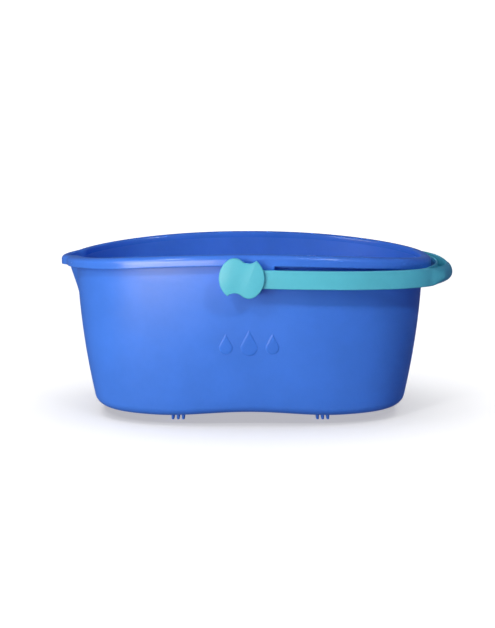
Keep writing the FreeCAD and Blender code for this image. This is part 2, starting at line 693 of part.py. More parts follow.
# ---------------------------------------------------------------- pivot caps
def draw_cap(sketch):
    """Outline the cap about its pivot: two round sides, two lobes and two notches.

    The outline is the same after half a turn, so each kind of arc is drawn twice.
    """
    radius = number("cap_radius")
    lobe = number("cap_lobe_radius")
    notch = number("cap_notch_radius")
    offset = number("cap_lobe_offset")
    lobe_drop = math.sqrt((radius - lobe)**2 - offset**2)
    notch_drop = lobe_drop + math.sqrt((lobe + notch)**2 - (2 * offset)**2)
    lobe_centre = Vector(offset, -lobe_drop, 0)
    notch_centre = Vector(-offset, -notch_drop, 0)
    distance = notch_centre.Length
    along = (radius**2 - notch**2 + distance**2) / (2 * distance)
    aside = math.sqrt(radius**2 - along**2)
    unit = notch_centre * (1 / distance)
    tip = unit * along + Vector(unit.y, -unit.x, 0) * aside
    side_turn = math.atan2(-lobe_centre.y, -lobe_centre.x) - math.pi
    join = math.atan2(notch_centre.y - lobe_centre.y, notch_centre.x - lobe_centre.x)
    pieces = []
    for half_turn in (0, math.pi):
        flip = math.cos(half_turn)
        pieces += [
            arc(0, 0, radius, side_turn + half_turn, math.atan2(-tip.y, -tip.x) + half_turn),
            arc(lobe_centre.x * flip, lobe_centre.y * flip, lobe,
                join + half_turn, side_turn + half_turn),
            arc(notch_centre.x * flip, notch_centre.y * flip, notch,
                join + math.pi + half_turn - 2 * math.pi,
                math.atan2(tip.y - notch_centre.y, tip.x - notch_centre.x) + half_turn),
        ]
    ids = sketch.addGeometry(pieces, False)
    sides, lobes, notches = ids[0::3], ids[1::3], ids[2::3]
    for here, there in ((0, 1), (1, 0)):
        relate(sketch, "Tangent", lobes[here], END, sides[here], START)
        relate(sketch, "Tangent", lobes[here], START, notches[here], START)
        relate(sketch, "Coincident", notches[here], END, sides[there], END)
        relate(sketch, "Coincident", sides[here], CENTRE, *ORIGIN)
        drive(sketch, "Radius", sides[here], "cap_radius")
        drive(sketch, "Radius", lobes[here], "cap_lobe_radius")
        drive(sketch, "Radius", notches[here], "cap_notch_radius")
    drive(sketch, "DistanceX", *ORIGIN, lobes[0], CENTRE, "cap_lobe_offset")
    drive(sketch, "DistanceX", notches[0], CENTRE, *ORIGIN, "cap_lobe_offset")
    drive(sketch, "DistanceX", lobes[1], CENTRE, *ORIGIN, "cap_lobe_offset")
    drive(sketch, "DistanceX", *ORIGIN, notches[1], CENTRE, "cap_lobe_offset")


def draw_pin(sketch, side):
    """Outline half of the snap-in pin, from the disc to its tapered end, for turning about Y."""
    stations = [
        ("0", "eye_face"),
        ("pin_radius", "eye_face"),
        ("pin_radius", "lip_start"),
        ("lip_radius", "lip_start"),
        ("pin_nose", "pin_end"),
        ("0", "pin_end"),
    ]
    points = [(number(x), side * number(y)) for x, y in stations]
    lines = sketch.addGeometry(
        [segment(*here, *there) for here, there in zip(points, points[1:] + points[:1])], False)
    ring = list(lines)
    for first, second in zip(ring, ring[1:] + ring[:1]):
        relate(sketch, "Coincident", first, END, second, START)
    for line, (x, y) in zip(lines, stations):
        if x == "0":
            relate(sketch, "PointOnObject", line, START, Y_AXIS)
        else:
            drive(sketch, "DistanceX", *ORIGIN, line, START, x)
        if side > 0:
            drive(sketch, "DistanceY", *ORIGIN, line, START, y)
        else:
            drive(sketch, "DistanceY", line, START, *ORIGIN, y)


def make_pivot_cap(label, side):
    """Make the cap for one side: -1 is the front and 1 the back, its mirror image."""
    body = new_body(label)
    disc = new_sketch(body, "Disc", "XZ_Plane", "eye_face" if side < 0 else "0 - eye_face")
    draw_cap(disc)
    extrude(body, "Pad", disc, "cap_thickness", reverse=side > 0)
    face = number("eye_face + cap_thickness")
    round_edges(body, "DiscRound", "cap_round",
                lambda edge: all(abs(abs(point.y) - face) < TOUCH for point in edge_points(edge)))
    profile = new_sketch(body, "PinProfile", "XY_Plane")
    draw_pin(profile, side)
    turned = body.newObject("PartDesign::Revolution", "Pin")
    turned.Profile = profile
    turned.ReferenceAxis = (profile, ["V_Axis"])
    turned.Angle = 360
    split = new_sketch(body, "Split", "XY_Plane")
    ends = ("pin_end - overlap", "pin_end + split_depth")
    if side < 0:
        ends = ("0 - pin_end - split_depth", "0 - pin_end + overlap")
    half = SIZE_VALUES["split_width"] / 2
    draw_slot(split, half, *ends)
    extrude(body, "Pocket", split, "4 * pin_radius", both_ways=True)
    body.setExpression(".Placement.Base.z", cell("pivot_height"))
    return body


def draw_slot(sketch, half, low, high):
    """Outline the split between the pin's snap legs."""
    y1, y2 = number(low), number(high)
    bottom, right, top, left = sketch.addGeometry([
        segment(-half, y1, half, y1),
        segment(half, y1, half, y2),
        segment(half, y2, -half, y2),
        segment(-half, y2, -half, y1),
    ], False)
    ring = (bottom, right, top, left)
    for first, second in zip(ring, ring[1:] + ring[:1]):
        relate(sketch, "Coincident", first, END, second, START)
    for line in (bottom, top):
        relate(sketch, "Horizontal", line)
    for line in (right, left):
        relate(sketch, "Vertical", line)
    drive_formula(sketch, bottom, END, "DistanceX", half, "split_width / 2")
    drive_formula(sketch, top, END, "DistanceX", -half, "0 - split_width / 2")
    drive(sketch, "DistanceY", *ORIGIN, bottom, START, low)
    drive(sketch, "DistanceY", *ORIGIN, top, START, high)


bodies = [
    make_bucket_shell(),
    make_carry_handle(),
    make_pivot_cap("front_pivot_cap", -1),
    make_pivot_cap("rear_pivot_cap", 1),
]

# ---------------------------------------------------------------- check and write
document.recompute()
for body in bodies:
    shift = "frame_shift + pivot_offset" if body.Label.endswith("cap") else "frame_shift"
    body.setExpression(".Placement.Base.x", cell(shift))
document.recompute()
for thing in document.Objects:
    if "Invalid" in thing.State or "Error" in thing.State:
        raise RuntimeError(f"{thing.Name} failed: {thing.State}")
os.makedirs("parts", exist_ok=True)
for body in bodies:
    shape = body.Shape
    if shape.isNull() or not shape.isValid():
        raise RuntimeError(f"{body.Label} has no valid shape")
    shape.exportStep(f"parts/{body.Label}.step")
    box = shape.BoundBox
    print(f"{body.Label}: {len(shape.Solids)} solid, {shape.Volume / 1000:.1f} cm3, "
          f"X {box.XMin:.1f} to {box.XMax:.1f}, Y {box.YMin:.1f} to {box.YMax:.1f}, "
          f"Z {box.ZMin:.1f} to {box.ZMax:.1f}")
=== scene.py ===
import json
import math

import bmesh
import bpy
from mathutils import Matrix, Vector


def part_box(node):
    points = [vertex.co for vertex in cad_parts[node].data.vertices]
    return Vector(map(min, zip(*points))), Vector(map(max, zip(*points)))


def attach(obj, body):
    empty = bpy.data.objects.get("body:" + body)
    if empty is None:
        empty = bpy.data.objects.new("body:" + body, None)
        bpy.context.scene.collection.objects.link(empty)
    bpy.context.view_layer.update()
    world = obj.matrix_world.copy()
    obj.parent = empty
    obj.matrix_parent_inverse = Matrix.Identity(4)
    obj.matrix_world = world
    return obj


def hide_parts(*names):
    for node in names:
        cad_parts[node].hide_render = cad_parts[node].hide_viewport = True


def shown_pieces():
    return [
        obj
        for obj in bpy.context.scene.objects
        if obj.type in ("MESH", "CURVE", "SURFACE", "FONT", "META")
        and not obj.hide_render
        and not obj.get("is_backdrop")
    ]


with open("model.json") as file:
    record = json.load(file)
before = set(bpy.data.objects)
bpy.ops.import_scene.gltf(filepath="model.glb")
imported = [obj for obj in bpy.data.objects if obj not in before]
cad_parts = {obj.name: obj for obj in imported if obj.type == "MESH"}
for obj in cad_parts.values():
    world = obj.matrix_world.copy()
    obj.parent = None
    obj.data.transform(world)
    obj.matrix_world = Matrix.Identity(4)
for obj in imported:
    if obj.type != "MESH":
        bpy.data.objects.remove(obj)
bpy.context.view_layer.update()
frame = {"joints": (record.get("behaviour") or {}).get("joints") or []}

# %% [markdown]
# # An oval mop bucket with a carry handle
# The bucket is four plastic pieces: a tub with a turned-down rim, a handle that swings over it,
# and two caps whose pins hold the handle. The CAD model fixes where they are. Here each piece is
# drawn again as a clean mesh, ring by ring, because moulded plastic is judged by its reflections
# and those need an even grid that follows the shape.
# Everything below is written in millimetres from the bucket's middle and turned into metres
# at the end, by one function.

# %% Places read from the frame
MM = 0.001
RIM_LENGTH, RIM_DEPTH = 226.0, 137.0
shell_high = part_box("bucket_shell")[1]
MIDDLE_X = shell_high.x - RIM_LENGTH * MM
CREST = shell_high.z / MM
swing = frame["joints"][0]
PIVOT_X = (swing["pos_m"][0] - MIDDLE_X) / MM
PIVOT_Z = swing["pos_m"][2] / MM
print(f"middle at x {MIDDLE_X:.4f} m, crest {CREST:.1f} mm, pivot {PIVOT_X:.1f}, {PIVOT_Z:.1f} mm")


def metres(x, y, z):
    """A point in millimetres from the bucket's middle, as metres in the frame."""
    return (x * MM + MIDDLE_X, y * MM, z * MM)


# %% [markdown]
# ## The camera
# The picture is taken from the front, a little above the rim, with a long lens. The camera stands
# 1.3 m away and looks down by about ten degrees, so the far rim shows above the near one. Nothing
# is out of focus, because a small part is looked at all over.

# %% Camera
CAMERA_PLACE = (-1.9, -1300.0, 357.1)
CAMERA_LENS = 59.7
CAMERA_DIP = 0.182  # how far it looks down, in radians

camera_data = bpy.data.cameras.new("camera")
camera_data.lens = CAMERA_LENS
camera = bpy.data.objects.new("camera", camera_data)
camera.location = metres(*CAMERA_PLACE)
camera.rotation_euler = (math.radians(90.0) - CAMERA_DIP, 0.0, 0.0)
bpy.context.scene.collection.objects.link(camera)
bpy.context.scene.camera = camera
print(f"camera at {[round(v, 3) for v in camera.location]} m")

# %% [markdown]
# ## Meshes from rings
# A tub, a handle and a cap are all skins stretched over a row of closed outlines. One helper takes
# the outlines as rows of points, joins neighbours with four-sided faces and closes the ends.
# Edges that turn sharply are marked so, and the rest of the skin is shaded smooth.
# A skin could also be made by modifiers on a rough cage, but then the rolled rim and the thin
# skirt would move with every change of the cage, and here each of their rings has its own place.


# %% Mesh helpers
def add_skin(mesh, rows, material=0):
    """Join rows of points, each closed on itself, by four-sided faces, and close both ends."""
    rings = [[mesh.verts.new(metres(*point)) for point in row] for row in rows]
    faces = []
    for here, there in zip(rings, rings[1:]):
        for k in range(len(here)):
            n = (k + 1) % len(here)
            faces.append(mesh.faces.new((here[k], here[n], there[n], there[k])))
    faces.append(mesh.faces.new(list(reversed(rings[0]))))
    faces.append(mesh.faces.new(rings[-1]))
    for face in faces:
        face.material_index = material
    return faces


WELD = 0.02 * MM
SHARP = math.radians(32.0)


def finish_piece(node, mesh, materials, body):
    """Turn a bmesh into an object that rides on its body and stands for its CAD node."""
    name = node + "_skin"
    bmesh.ops.remove_doubles(mesh, verts=mesh.verts, dist=WELD)
    bmesh.ops.recalc_face_normals(mesh, faces=mesh.faces)
    data = bpy.data.meshes.new(name)
    mesh.to_mesh(data)
    mesh.free()
    for polygon in data.polygons:
        polygon.use_smooth = True
    data.set_sharp_from_angle(angle=SHARP)
    for material in materials:
        data.materials.append(material)
    piece = bpy.data.objects.new(name, data)
    bpy.context.scene.collection.objects.link(piece)
    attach(piece, body)
    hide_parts(node)
    print(f"{name}: {len(data.vertices)} points, {len(data.polygons)} faces")


def smooth_step(low, high, value):
    """0 below low, 1 above high, and an even S between them."""
    share = min(max((value - low) / (high - low), 0.0), 1.0)
    return share * share * (3.0 - 2.0 * share)


def mix(first, second, share):
    """The value at a share of the way from the first to the second."""
    return first + (second - first) * share


def arc_points(centre_u, centre_v, radius, start, end, steps):
    """Points on an arc between two angles in degrees, both ends included."""
    points = []
    for k in range(steps + 1):
        turn = math.radians(mix(start, end, k / steps))
        points.append((centre_u + radius * math.cos(turn), centre_v + radius * math.sin(turn)))
    return points


# %% [markdown]
# ## The oval, seen from above
# The tub is neither an ellipse nor a rectangle. A superellipse gives it: one power sets how full
# its corners are, and there are no joins between arcs that would show as kinks in a reflection.
# The outline is asked for by direction from the middle, so every level of the tub answers with the
# point in the same direction and the grid's columns run straight up the wall.

# %% Outlines
RIM_POWER = 2.45
LIP_CENTRE = -190.0
LIP_RIM_RADIUS = 44.8
RIM_CREASE = 3.0
ARCH_RADIUS = 1733.0
SHOULDER = 190.0  # height above which the wall is nearly upright
WALL_LENGTH = 216.5  # half length of the tub there
DEPTH_LESS = 89.0  # how much less its half depth is
LEAN, LEAN_POWER = 0.0019, 1.8  # how the wall draws in below
UPPER_LEAN = 0.01
LEFT_TRIM, RIGHT_TRIM = 3.0, 1.0
FOOT_FULLER, FOOT_POWER, FOOT_SPREAD = 0.62, 1.3, 177.0  # the corners fill out towards the base
LIP_LOW, LIP_HIGH = 147.0, 178.0  # heights at which the lip has its two radii
LIP_LOW_RADIUS, LIP_HIGH_RADIUS = 24.0, 33.5
LIP_START = 135.0
LIP_LEAST = 2.0
CROWN_RISE, CROWN_HALF = 4.8, 112.0


def oval_reach(length, depth, power, turn):
    """Distance from the middle to a superellipse, in the direction turn."""
    along = abs(math.cos(turn)) / length
    across = abs(math.sin(turn)) / depth
    return (along**power + across**power) ** (-1.0 / power)


def circle_reach(centre, radius, turn):
    """Distance from the middle to the far side of a circle on the X axis, or 0 if it is missed."""
    along = centre * math.cos(turn)
    inside = along * along - centre * centre + radius * radius
    return max(along + math.sqrt(inside), 0.0) if inside > 0.0 else 0.0


def soft_max(first, second, blend):
    """The larger of two reaches, with their crossing rounded over about blend millimetres."""
    gap = max(blend - abs(first - second), 0.0) / blend
    return max(first, second) + gap * gap * blend * 0.25


def wall_reach(turn, z, inset=0.0):
    """Distance from the middle to the tub's wall at a height, less an inset."""
    below = max(SHOULDER - z, 0.0)
    length = WALL_LENGTH - LEAN * below**LEAN_POWER + UPPER_LEAN * max(z - SHOULDER, 0.0)
    depth = length - DEPTH_LESS
    length -= LEFT_TRIM if math.cos(turn) < 0.0 else RIGHT_TRIM
    power = RIM_POWER + FOOT_FULLER * (below / FOOT_SPREAD) ** FOOT_POWER
    oval = oval_reach(length - inset, depth - inset, power, turn)
    up_the_lip = (z - LIP_LOW) / (LIP_HIGH - LIP_LOW)
    lip_radius = mix(LIP_LOW_RADIUS, LIP_HIGH_RADIUS, up_the_lip) - inset
    if z < LIP_START or lip_radius < LIP_LEAST:
        return oval
    # the valley where lip and wall meet is wide outside and narrow inside
    crease = 4.0 if inset == 0.0 else 1.5
    return soft_max(oval, circle_reach(LIP_CENTRE, lip_radius, turn), crease)


def rim_reach(turn):
    """Distance from the middle to the rim's outer edge."""
    oval = oval_reach(RIM_LENGTH, RIM_DEPTH, RIM_POWER, turn)
    return soft_max(oval, circle_reach(LIP_CENTRE, LIP_RIM_RADIUS, turn), RIM_CREASE)


def arch(x):
    """Height of the rim's crest: an arc, so the ends are lower than the middle."""
    return CREST - ARCH_RADIUS + math.sqrt(ARCH_RADIUS * ARCH_RADIUS - x * x)


def crown(x):
    """Lift of the underside's middle."""
    return CROWN_RISE * math.cos(math.radians(90.0 * min(abs(x) / CROWN_HALF, 1.0))) ** 2


print(f"rim {RIM_LENGTH + rim_reach(math.pi):.1f} mm long with its lip, "
      f"{arch(RIM_LENGTH):.1f} mm high at its ends")


# %% [markdown]
# ## Columns of the grid
# The columns are spaced evenly along the rim, a few millimetres apart. The bosses that carry the
# pivots have upright edges, so two extra columns are put at each of those four edges, and an even
# column that would fall too near one of them is left out.

# %% Columns
BOSS_HALF = 27.7
BOSS_EDGE = 0.9  # width of the step from skirt to boss
COLUMNS = 480
FINE_STEPS = 7200
NEAREST = 0.008  # least angle between an even column and a boss's edge


def even_turns(reach, count):
    """Directions that divide an outline into equal lengths, starting at +X."""
    fine = [2.0 * math.pi * k / FINE_STEPS for k in range(FINE_STEPS + 1)]
    points = [(reach(t) * math.cos(t), reach(t) * math.sin(t)) for t in fine]
    lengths = [0.0]
    for here, there in zip(points, points[1:]):
        lengths.append(lengths[-1] + math.dist(here, there))
    chosen = []
    k = 0
    for step in range(count):
        goal = lengths[-1] * step / count
        while lengths[k + 1] < goal:
            k += 1
        share = (goal - lengths[k]) / (lengths[k + 1] - lengths[k])
        chosen.append(mix(fine[k], fine[k + 1], share))
    return chosen


def turn_at_x(x, side):
    """Direction of the rim's point with this X, on the front (-1) or the back (1)."""
    depth = RIM_DEPTH * (1.0 - (abs(x) / RIM_LENGTH) ** RIM_POWER) ** (1.0 / RIM_POWER)
    return math.atan2(side * depth, x) % (2.0 * math.pi)


boss_turns = [turn_at_x(sign * (BOSS_HALF + extra), side)
              for sign in (-1, 1) for side in (-1, 1) for extra in (0.0, BOSS_EDGE)]
turns = [t for t in even_turns(rim_reach, COLUMNS)
         if all(abs(t - boss) > NEAREST for boss in boss_turns)]
turns = sorted(turns + boss_turns)
print(f"{len(turns)} columns, lip tip at {-rim_reach(math.pi):.1f} mm")

# %% [markdown]
# ## The tub and its rim
# On the real bucket this is one injection moulding of polypropylene, about 2 mm thick everywhere.
# It is drawn as one closed skin: from the middle of the floor up the inside, over the rolled rim,
# down the skirt, back up under it, and down the outside to the middle of the underside.
# A ring of the wall is given by how far it is up the wall, a ring of the rim by its place on the
# rim's section. Both lean on the same two outlines, so the skin has no seam.

# %% Rings of the tub
BASE = 11.8
WALL = 2.2
FLOOR = 2.6
BASE_ROUND = 11.0
FLOOR_ROUND = 8.8
OVERHANG = 9.5  # the rim's outer edge, out from the wall
SKIRT = 12.5
SKIRT_WALL = 2.2
FLANGE = 2.8
RIM_ROUND = 5.4
INNER_ROUND = 3.4
BOSS_BOTTOM = 173.0
UNDER_RIM = 8.0  # the wall's top ring, below the crest
AT_RIM = 5.0  # level below the crest at which the rim takes the wall's outline
LEFT_LESS, LEFT_FROM, LEFT_TO = 0.17, 150.0, 222.0  # the rim gets shallower towards the lip


def floor_ring(share, level):
    """A ring on the floor (level FLOOR) or the underside (level 0): its edge, made smaller."""
    row = []
    edge = BASE_ROUND if level == 0.0 else WALL + FLOOR_ROUND
    for turn in turns:
        reach = (wall_reach(turn, BASE) - edge) * share
        x, y = reach * math.cos(turn), reach * math.sin(turn)
        row.append((x, y, BASE + level + crown(x)))
    return row


def corner_ring(radius, edge, level, angle):
    """A ring on the round corner between floor and wall; angle 0 is the floor, 90 the wall."""
    row = []
    lift = radius * (1.0 - math.cos(math.radians(angle)))
    inset = edge + radius * (1.0 - math.sin(math.radians(angle)))
    for turn in turns:
        reach = wall_reach(turn, BASE + lift) - inset
        x, y = reach * math.cos(turn), reach * math.sin(turn)
        row.append((x, y, BASE + level + lift + crown(x)))
    return row


def wall_ring(share, inset, low):
    """A ring on the wall: share 0 just above the round corner, 1 just under the rim."""
    row = []
    for turn in turns:
        z = mix(BASE + low, CREST - UNDER_RIM - 2.0, share)
        # height depends on X and X on height, and three rounds are enough for the two to agree
        for _ in range(3):
            reach = wall_reach(turn, z) - inset
            x = reach * math.cos(turn)
            z = mix(BASE + low + crown(x), arch(x) - UNDER_RIM, share)
        row.append((x, reach * math.sin(turn), z))
    return row


def is_boss(x, y):
    """True on the stretch of the skirt, front or back, that reaches down to a boss's bottom."""
    return abs(x) <= BOSS_HALF + 0.3 and abs(y) > 60.0


def rim_ring(out, drop, follows_boss=False):
    """A ring on the rim's section: out from the wall, drop below the crest."""
    row = []
    for turn in turns:
        rim_x = rim_reach(turn) * math.cos(turn)
        level = arch(rim_x) - AT_RIM
        if out < 0.0:
            reach = wall_reach(turn, level, -out)
        else:
            reach = mix(wall_reach(turn, level), rim_reach(turn), out / OVERHANG)
        x, y = reach * math.cos(turn), reach * math.sin(turn)
        z = arch(x) - drop * (1.0 - LEFT_LESS * smooth_step(LEFT_FROM, LEFT_TO, -rim_x))
        if follows_boss and is_boss(rim_x, y):
            z = BOSS_BOTTOM - (drop - SKIRT)
        row.append((x, y, z))
    return row


# %% [markdown]
# The rings now follow one another round the section: floor, inner corner, inner wall, rolled edge,
# skirt, flange's underside, outer wall, outer corner, underside. Corners get a ring every ten or
# fifteen degrees and the flat parts few, so the points go where the light bends. The rim is
# glossier than the walls on the real tub, since hands and water polish it, so its faces take the
# second material.

# %% Skin of the tub
rows = [floor_ring(share, FLOOR) for share in (0.04, 0.3, 0.55, 0.75, 0.9, 0.97)]
rows += [corner_ring(FLOOR_ROUND, WALL, FLOOR, angle) for angle in range(0, 91, 15)]
rows += [wall_ring(k / 16, WALL, FLOOR + FLOOR_ROUND) for k in range(1, 17)]
rim_inside_end = len(rows)
rows += [rim_ring(u, -v) for u, v in
         arc_points(-WALL + INNER_ROUND, -INNER_ROUND, INNER_ROUND, 180.0, 90.0, 6)]
rows += [rim_ring(u, -v) for u, v in ((1.6, 0.0), (OVERHANG - RIM_ROUND - 0.6, 0.0))]
rows += [rim_ring(u, -v) for u, v in
         arc_points(OVERHANG - RIM_ROUND, -RIM_ROUND, RIM_ROUND, 90.0, 0.0, 10)]
rows += [rim_ring(OVERHANG, drop) for drop in (8.5, SKIRT - 1.5, SKIRT - 0.7)]
rows += [rim_ring(OVERHANG - 0.35, SKIRT - 0.1, True),
         rim_ring(OVERHANG - SKIRT_WALL / 2.0, SKIRT, True),
         rim_ring(OVERHANG - SKIRT_WALL + 0.35, SKIRT - 0.1, True)]
rows += [rim_ring(OVERHANG - SKIRT_WALL, SKIRT - 0.7), rim_ring(OVERHANG - SKIRT_WALL, 4.0),
         rim_ring(OVERHANG - SKIRT_WALL - 1.0, FLANGE), rim_ring(1.0, FLANGE), rim_ring(0.2, 3.6)]
rim_outside_end = len(rows)
rows += [wall_ring(1.0 - k / 24, 0.0, BASE_ROUND) for k in range(0, 24)]
rows += [corner_ring(BASE_ROUND, 0.0, 0.0, angle) for angle in range(90, -1, -10)]
rows += [floor_ring(share, 0.0) for share in (0.97, 0.85, 0.6, 0.3, 0.04)]
print(f"{len(rows)} rings")
shell_mesh = bmesh.new()
tub_faces = add_skin(shell_mesh, rows)
RIM_SLOT = 1
for k, face in enumerate(tub_faces):
    if rim_inside_end <= k // len(turns) + 1 < rim_outside_end:
        face.material_index = RIM_SLOT

# %% [markdown]
# ## Small solids on the tub
# The skirt grows downwards into a boss at each pivot, with a wall at either side and two small
# pegs that stop the handle. The feet are short ribs in threes that keep the underside off a wet
# floor. Both belong to the same moulding, so they go in the same mesh.
# A foot is drawn as a stadium that narrows downwards, because a moulded rib needs some draft to
# leave its mould.

# %% Bosses, stop pegs and feet
FOOT_MIDDLE, FOOT_SPAN, FOOT_PITCH, FOOT_SIDE = 1.7, 88.3, 6.3, 65.0
# height, half thickness and half length of a rib, from its root down to the floor
FOOT_LEVELS = ((13.0, 2.1, 7.6), (4.0, 1.85, 7.2), (1.1, 1.75, 7.0), (0.4, 1.5, 6.75),
               (0.0, 1.0, 6.2))
BOSS_BACK, BOSS_FRONT, BOSS_TOP, BOSS_WALL = 125.5, 135.5, 203.0, 2.1
STOP_CIRCLE, STOP_RADIUS = 17.0, 2.8
STOP_TURN = math.radians(19.6)
STOP_BACK, STOP_FACE = 134.0, 139.1
ROD_SOFT = 0.4


def stadium(x, y, z, half_width, half_length):
    """A long rounded outline lying along Y."""
    straight = half_length - half_width
    points = []
    for centre, start in ((straight, 0.0), (-straight, 180.0)):
        for u, v in arc_points(0.0, centre, half_width, start, start + 180.0, 8):
            points.append((x + u, y + v, z))
    return points


def round_rod(mesh, x, z, radius, near, far, steps):
    """A rod along Y with softened ends."""
    step = math.copysign(ROD_SOFT, far - near)
    ends = ((near, radius - ROD_SOFT), (near + step, radius),
            (far - step, radius), (far, radius - ROD_SOFT))
    add_skin(mesh, [[(x + u, y, z + v) for u, v in arc_points(0.0, 0.0, r, 0.0, 360.0, steps)[:-1]]
                    for y, r in ends])


for span in (-FOOT_SPAN, FOOT_SPAN):
    for step in (-FOOT_PITCH, 0.0, FOOT_PITCH):
        for side in (-FOOT_SIDE, FOOT_SIDE):
            add_skin(shell_mesh, [stadium(FOOT_MIDDLE + span + step, side, z, w, n)
                                  for z, w, n in FOOT_LEVELS])
for side in (-1.0, 1.0):
    for along in (-1.0, 1.0):
        outer = along * (BOSS_HALF - 0.1)
        inner = outer - along * BOSS_WALL
        add_skin(shell_mesh, [[(inner, side * BOSS_BACK, z), (outer, side * BOSS_BACK, z),
                               (outer, side * BOSS_FRONT, z), (inner, side * BOSS_FRONT, z)]
                              for z in (BOSS_BOTTOM + 0.3, BOSS_TOP)])
        round_rod(shell_mesh, PIVOT_X + along * STOP_CIRCLE * math.cos(STOP_TURN),
                  PIVOT_Z - STOP_CIRCLE * math.sin(STOP_TURN), STOP_RADIUS,
                  side * STOP_BACK, side * STOP_FACE, 24)
print(f"feet at x {FOOT_MIDDLE - FOOT_SPAN:.1f} and {FOOT_MIDDLE + FOOT_SPAN:.1f} mm, "
      f"pegs {STOP_CIRCLE:.0f} mm from the pivot")

# %% [markdown]
# ## A raised mark
# The front of such a tub often carries a low moulded mark in the tub's own colour. Three plain
# drops stand in for it: each is a teardrop outline laid on the wall and domed by shrinking rings.
# The lowest ring lies inside the wall, so no gap can show where the drop meets it.

# %% Three drops on the front wall
MARK_HEIGHT = 100.0
DROP_RADIUS, DROP_TIP = 9.5, 21.0
# size of each ring against the outline, and how far it stands out of the wall
DROP_RINGS = ((1.0, -0.8), (1.0, 0.15), (0.95, 0.4), (0.8, 0.55), (0.5, 0.65), (0.15, 0.7))


def wall_depth(x, z):
    """Y of the tub's wall, at a place on the front."""
    turn = math.atan2(-110.0, x)
    # the direction is guessed first and then corrected by what the wall answers
    for _ in range(6):
        reach = wall_reach(turn, z)
        turn = math.atan2(-abs(reach * math.sin(turn)), x)
    return reach * math.sin(turn)


def drop_outline(radius, tip, steps=26):
    """A teardrop about its round end: a circle whose top is drawn out to a point."""
    lean = math.degrees(math.asin(radius / tip))
    points = arc_points(0.0, 0.0, radius, 180.0 - lean, 360.0 + lean, steps)
    (right_x, right_z), (left_x, left_z) = points[-1], points[0]
    right = [(mix(right_x, 0.0, k / 7), mix(right_z, tip, k / 7)) for k in range(1, 8)]
    left = [(mix(0.0, left_x, k / 7), mix(tip, left_z, k / 7)) for k in range(1, 7)]
    return points + right + left


for along, size in ((-27.0, 0.8), (0.0, 1.0), (27.0, 0.8)):
    outline = drop_outline(DROP_RADIUS * size, DROP_TIP * size)
    rows = []
    for scale, lift in DROP_RINGS:
        row = []
        for u, v in outline:
            x, z = along + u * scale, MARK_HEIGHT + v * scale
            row.append((x, wall_depth(x, z) - lift, z))
        rows.append(row)
    add_skin(shell_mesh, rows, material=RIM_SLOT)
print(f"drops stand {DROP_RINGS[-1][1]} mm out of the wall, {MARK_HEIGHT:.0f} mm up")

# %% [markdown]
# ## The carry handle
# The handle is a strap that follows the rim, widens at the far end and becomes a trough for the
# fingers. One section is drawn at each step round the rim. It is mixed from two sections with the
# same number of points: a flat strap with softened corners, and a trough with thin walls. Where
# the mix goes from one to the other, the strap opens into the trough, as it does on the real
# moulding.

# %% Sections of the handle
HANDLE_POWER = 2.7
HANDLE_OUTSIDE = (245.0, 146.0)  # half length and half depth, in plan
HANDLE_INSIDE = (238.7, 140.0)
GRIP_CENTRE, GRIP_RADIUS = 61.0, 171.0  # the arc that the grip's inner face follows
GRIP_CREASE = 3.0
STRAP_LOW, STRAP_HIGH = 173.4, 194.5  # edges of the strap at the pivot
FALL_LOW, FALL_HIGH = 0.0245, 0.0235  # how far they fall for each millimetre to the right
STRAP_SOFT = 1.1
TROUGH_WALL = 2.4
TROUGH_ROUND = 7.0  # outer lower edge
TROUGH_SOFT = 1.2  # inner lower edge
TROUGH_FILLET = 2.5  # corners of the channel's floor
TROUGH_BULGE, BULGE_POWER = 6.0, 0.75
TROUGH_DEPTH = 18.6
TROUGH_LEAST = 11.5
OPEN_FROM, OPEN_TO = 24.5, 19.0  # directions, in degrees, between which the strap opens
STATIONS = 300


def strap_edges(turn):
    """Distances from the middle to the handle's inner and outer faces, in a direction."""
    outer = oval_reach(*HANDLE_OUTSIDE, HANDLE_POWER, turn)
    strap_inner = oval_reach(*HANDLE_INSIDE, HANDLE_POWER, turn)
    grip_inner = circle_reach(GRIP_CENTRE, GRIP_RADIUS, turn)
    # the smaller of the two reaches is the larger of their negatives
    return -soft_max(-strap_inner, -grip_inner, GRIP_CREASE), outer


def strap_section(width, low, high):
    """A flat strap: distance outward and height, all the way round."""
    soft = STRAP_SOFT
    points = arc_points(soft, low + soft, soft, 180.0, 270.0, 4)
    points += arc_points(width - soft, low + soft, soft, 270.0, 360.0, 8)
    points += [(width, mix(low, high, share)) for share in (0.35, 0.5, 0.65, 0.8)]
    points += arc_points(width - soft, high - soft, soft, 0.0, 90.0, 6)
    points += [(mix(width - soft, soft, (k + 1) / 15), high) for k in range(14)]
    points += arc_points(soft, high - soft, soft, 90.0, 180.0, 6)
    return points


